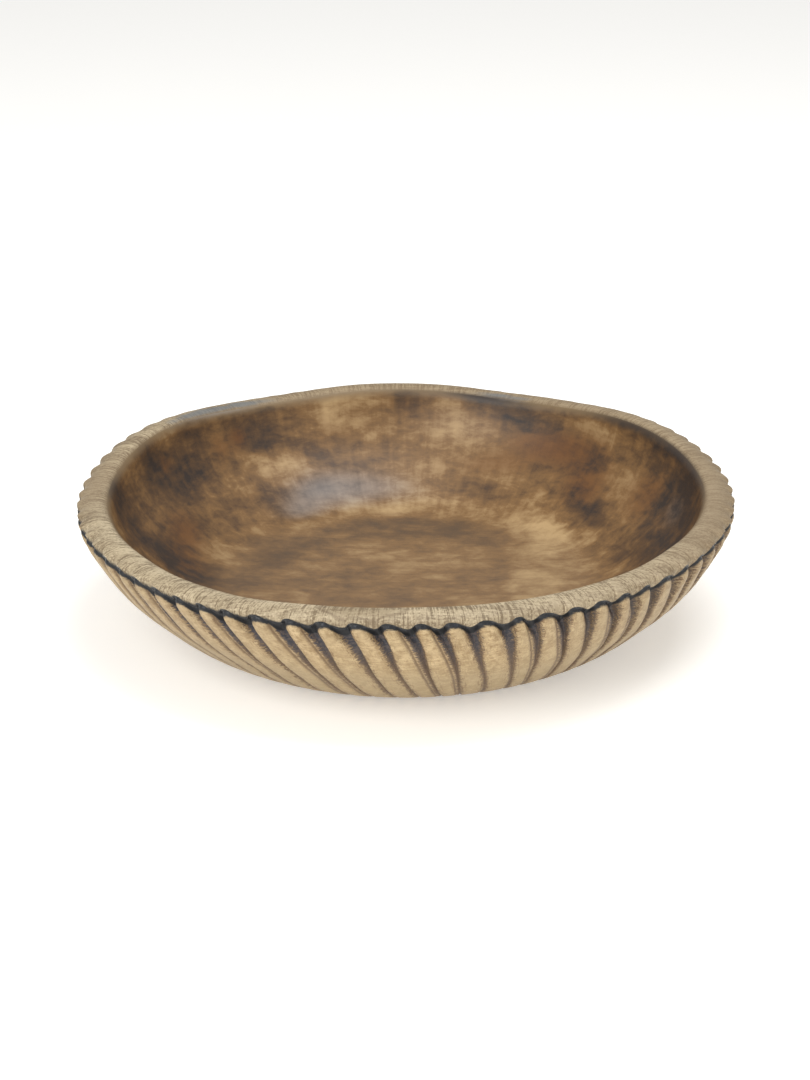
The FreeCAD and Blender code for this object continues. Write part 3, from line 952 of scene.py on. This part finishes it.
def scorched_mango(colours):
    """Hollow: mango stained brown, scorched in patches with a torch and lacquered.

    To the eye it is a soft tortoiseshell of tan, brown and charcoal under a satin sheen, with streaks that
    follow the strokes of the torch down the wall and the fibres across the floor.
    """
    material, tree, place, on = new_finish("scorched_mango", "down", "pale", "scorched", "toasted",
                                           "sheen_and_haze")
    fibre, figure = wood_grain(tree, place, fibre_length=30, fibre_width=1.7)
    cloud = flecks(tree, place, (42, 34, 20), detail=5.0, roughness=0.56, waviness=0.3)
    blotch = flecks(tree, place, (14, 10, 6), detail=6.0, roughness=0.64, waviness=0.3)
    on_floor = add(tree, "ShaderNodeMapRange", {0: on["down"], 1: WALL_END, 2: FLOOR_START},
                   interpolation_type="SMOOTHSTEP").outputs[0]
    down_wall = radial_strokes(tree, place, width=7, stroke_length=26)
    across_floor = weigh(tree, (fibre, 0.6), (figure, 0.4))
    strokes = add(tree, "ShaderNodeMix", {0: on_floor, 2: down_wall, 3: across_floor}).outputs[0]
    mottle = weigh(tree, (cloud, 0.42), (blotch, 0.40), (strokes, 0.18))
    ragged = weigh(tree, (mottle, 2.4), offset=-1.2)
    tone = weigh(tree, (on["pale"], 0.55), (on["scorched"], -0.55), (ragged, 1.0), offset=0.52)
    base = add(tree, "ShaderNodeValToRGB", {"Fac": tone}, stops=(
        (0.0, colours.hollow_dark), (1.0, colours.hollow_light), (0.3, colours.hollow_deep),
        (0.58, colours.hollow_mid))).outputs["Color"]
    rust = weigh(tree, (on["toasted"], 1.0), (ragged, 0.9))
    base = stain(tree, base, colours.hollow_rust, 0.75, (rust, 0.15, 1.0))
    base = stain(tree, base, colours.hollow_floor, 0.2, (on_floor, 0, 1))
    lip = stain(tree, colours.lip_brown, colours.hollow_dark, 1.0, (on["scorched"], 0, 1))
    near_lip = weigh(tree, (on["down"], 1.0), (blotch, 6.0))
    base = stain(tree, base, lip, 1.0, (near_lip, -23, -14.5))
    # Painted sheen: a milky blue grey laid over these patches stands in for the light's reflection.
    haze = weigh(tree, (on["sheen_and_haze"], 1.0), (ragged, 0.5))
    base = stain(tree, base, colours.hollow_sheen_paint, 0.6, (haze, 0.15, 0.9))
    close_finish(tree, base, roughness=0.45, relief=fibre, relief_mm=0.08, Specular_IOR_Level=0.4)
    return material


def oiled_mango(colours):
    """Underside: mango planed flat and wiped with oil.

    To the eye it is plain mid brown, with open grain and no gloss.
    """
    material, tree, place, _ = new_finish("oiled_mango")
    fibre, figure = wood_grain(tree, place, fibre_length=30, fibre_width=1.5)
    grain = weigh(tree, (fibre, 0.5), (figure, 0.5))
    dark = shade(colours.foot_brown, 0.5)
    base = stain(tree, dark, colours.foot_brown, 1.0, (grain, 0.38, 0.62))
    close_finish(tree, base, roughness=0.7, relief=grain, relief_mm=0.4)
    return material


def wool_felt(colours):
    """Pads: pressed wool felt.

    To the eye it is dark, soft and slightly hairy, with no shine but a pale bloom at grazing angles.
    """
    material, tree, place, _ = new_finish("wool_felt")
    # Wool fibres are 0.03 mm thick: the tufts are drawn at 0.8 mm so that they show.
    tufts = flecks(tree, place, (0.8, 0.8, 0.8), detail=4.0, roughness=0.7)
    dark = shade(colours.felt_brown, 0.45)
    base = stain(tree, dark, colours.felt_brown, 1.0, (tufts, 0.35, 0.65))
    close_finish(tree, base, roughness=0.95, relief=tufts, relief_mm=0.3, Sheen_Weight=0.3,
                 Sheen_Roughness=0.5)
    return material


# ---------------------------------------------------------------- pieces

def link_piece(name, mesh, materials):
    """Put a mesh in the scene under a plain name, with its finishes."""
    for material in materials:
        mesh.materials.append(material)
    piece = bpy.data.objects.new(name, mesh)
    bpy.context.scene.collection.objects.link(piece)
    return piece


PAD_SIDES = 72
PAD_RINGS = (0.25, 0.5, 0.72, 0.88)
PAD_EDGE_RINGS = 5


def pad_profile(size):
    """Reach and level of each ring of a pad, from its underside round to its top."""
    radius, top, edge = size.diameter / 2, size.thickness, size.edge_radius
    turns = np.radians(np.linspace(0, 90, PAD_EDGE_RINGS))
    low = [(radius - edge + edge * math.sin(turn), edge - edge * math.cos(turn)) for turn in turns]
    high = [(reach, top - level) for reach, level in reversed(low)]
    inner = [radius * share for share in PAD_RINGS]
    return [(reach, 0.0) for reach in inner] + low + high + [(reach, top) for reach in reversed(inner)]


def pad_mesh(size, centre, seed):
    """A felt disc with a worn edge and an uneven, fibrous surface."""
    random = np.random.default_rng(seed)
    turns = np.linspace(0, 2 * math.pi, PAD_SIDES, endpoint=False)
    rings, faces = [], []
    for number, (reach, level) in enumerate(pad_profile(size)):
        fuzz = random.normal(0.0, size.fuzz / 3, PAD_SIDES) * (level >= size.edge_radius / 4)
        out = np.minimum(reach + fuzz, size.diameter / 2)
        rings.append(np.stack((out * np.cos(turns), out * np.sin(turns), np.full(PAD_SIDES, level)), axis=1))
        if number:
            strip = ring_faces((number - 1) * PAD_SIDES, PAD_SIDES, number * PAD_SIDES, PAD_SIDES)
            faces += [face[::-1] for face in strip]
    points = np.concatenate(rings) + np.array(centre)
    faces.append(tuple(reversed(range(PAD_SIDES))))
    faces.append(tuple(range(len(points) - PAD_SIDES, len(points))))
    return smooth_mesh("felt_pad", points, faces)


class BOWL_OT_carve(bpy.types.Operator):
    """Carve the bowl's body and finish each part of its surface"""

    bl_idname = "bowl.carve"
    bl_label = "Carve the Bowl"

    def execute(self, context):
        scene = context.scene
        colours = scene.bowl_colours
        mesh = bowl_mesh(scene.bowl_sizes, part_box("bowl_body")[0].z)
        # Same order as the zones: hollow, rim, edge, flutes and foot.
        finishes = [scorched_mango(colours), limed_mango(colours), burnt_edge(colours),
                    torched_mango(colours), oiled_mango(colours)]
        body = link_piece("carved_body", mesh, finishes)
        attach(body, "root")
        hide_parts("bowl_body")
        return {"FINISHED"}


class BOWL_OT_felt_pads(bpy.types.Operator):
    """Press the felt pads onto the underside of the foot"""

    bl_idname = "bowl.felt_pads"
    bl_label = "Add the Felt Pads"

    def execute(self, context):
        scene = context.scene
        felt = wool_felt(scene.bowl_colours)
        nodes = sorted(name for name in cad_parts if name.startswith("felt_pad"))
        if not nodes:
            raise RuntimeError("the packed model has no felt pads")
        for number, node in enumerate(nodes, start=1):
            low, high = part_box(node)
            centre = Vector(((low.x + high.x) / 2, (low.y + high.y) / 2, low.z))
            pad = link_piece(f"wool_pad_{number}", pad_mesh(scene.pad_sizes, centre, number), [felt])
            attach(pad, "root")
            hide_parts(node)
        return {"FINISHED"}


# Light that comes up through the floor, against 1.0 for white.
FLOOR_GLOW = 0.4


def floor_material(colours):
    """Stage floor: the matt opal acrylic of a light table, lit from below.

    To the eye it is an even white that stays bright far behind the bowl.
    """
    material, tree, _, _ = new_finish("opal_acrylic")
    shader = add(tree, "ShaderNodeBsdfPrincipled", {
        "Base Color": colours.floor_colour, "Roughness": 0.9, "Specular IOR Level": 0.2,
        "Emission Color": colours.floor_colour, "Emission Strength": FLOOR_GLOW})
    add(tree, "ShaderNodeOutputMaterial", {"Surface": shader.outputs[0]})
    return material


# Soft boxes: name, place, side (m) and power (W).
LIGHTS = (
    ("top", (0.4, -0.1, 1.9), 1.1, 18.0),
    ("key", (-1.1, -1.7, 1.4), 1.6, 33.0),
    ("fill", (1.5, -1.4, 1.0), 1.6, 5.0),
)
SKY = 0.49


def add_light(name, place, side, power):
    """A square soft box that faces the bowl."""
    lamp = bpy.data.lights.new(name, "AREA")
    lamp.shape = "SQUARE"
    lamp.size = side
    lamp.energy = power
    light = bpy.data.objects.new(name, lamp)
    light.location = place
    light.rotation_mode = "QUATERNION"
    light.rotation_quaternion = (-Vector(place)).to_track_quat("-Z", "Y")
    bpy.context.scene.collection.objects.link(light)


def add_camera(settings):
    """A camera in front of the bowl, above its aim point and looking down at it."""
    camera = bpy.data.cameras.new("camera")
    camera.sensor_width = 36.0
    camera.lens = settings.lens
    viewer = bpy.data.objects.new("camera", camera)
    tilt = settings.camera_elevation
    back = Vector((0.0, -math.cos(tilt), math.sin(tilt)))
    viewer.location = Vector((0.0, 0.0, settings.aim_height)) + back * settings.camera_distance
    viewer.rotation_mode = "QUATERNION"
    viewer.rotation_quaternion = (-back).to_track_quat("-Z", "Y")
    bpy.context.scene.collection.objects.link(viewer)
    bpy.context.scene.camera = viewer


class BOWL_OT_stage(bpy.types.Operator):
    """Set the floor, the soft lights and the camera"""

    bl_idname = "bowl.stage"
    bl_label = "Set the Stage"

    def execute(self, context):
        scene = context.scene
        settings = scene.bowl_stage
        half = settings.floor_size / 2
        mesh = bpy.data.meshes.new("floor")
        corners = [(-half, -half, 0.0), (half, -half, 0.0), (half, half, 0.0), (-half, half, 0.0)]
        mesh.from_pydata(corners, [], [(0, 1, 2, 3)])
        link_piece("floor", mesh, [floor_material(settings)])
        for light in LIGHTS:
            add_light(*light)
        world = bpy.data.worlds.new("studio")
        world.use_nodes = True
        world.node_tree.nodes["Background"].inputs["Color"].default_value = (1.0, 1.0, 1.0, 1.0)
        world.node_tree.nodes["Background"].inputs["Strength"].default_value = SKY
        scene.world = world
        scene.view_settings.view_transform = "Standard"
        add_camera(settings)
        return {"FINISHED"}


def in_words(name):
    """The label of a group or a setting."""
    return name.replace("_", " ").capitalize()


class BOWL_PT_maker(bpy.types.Panel):
    """Sizes, colours and steps of the carved bowl"""

    bl_idname = "BOWL_PT_maker"
    bl_label = "Carved Bowl"
    bl_space_type = "VIEW_3D"
    bl_region_type = "UI"
    bl_category = "Carved Bowl"

    def draw(self, context):
        for operator in OPERATORS:
            self.layout.operator(operator.bl_idname)
        for name, kind in GROUPS.items():
            box = self.layout.box()
            box.label(text=in_words(name))
            for setting in kind.__annotations__:
                box.prop(getattr(context.scene, name), setting, text=in_words(setting))


GROUPS = {"bowl_sizes": BowlSizes, "pad_sizes": PadSizes, "bowl_colours": BowlColours,
          "bowl_stage": StageSettings}
OPERATORS = (BOWL_OT_carve, BOWL_OT_felt_pads, BOWL_OT_stage)


def register():
    for name, group in GROUPS.items():
        bpy.utils.register_class(group)
        setattr(bpy.types.Scene, name, PointerProperty(type=group))
    for operator in OPERATORS:
        bpy.utils.register_class(operator)
    bpy.utils.register_class(BOWL_PT_maker)


def unregister():
    bpy.utils.unregister_class(BOWL_PT_maker)
    for operator in reversed(OPERATORS):
        bpy.utils.unregister_class(operator)
    for name, group in reversed(GROUPS.items()):
        delattr(bpy.types.Scene, name)
        bpy.utils.unregister_class(group)


def main():
    register()
    bpy.ops.bowl.carve()
    bpy.ops.bowl.felt_pads()
    bpy.ops.bowl.stage()


if __name__ == "__main__":
    main()
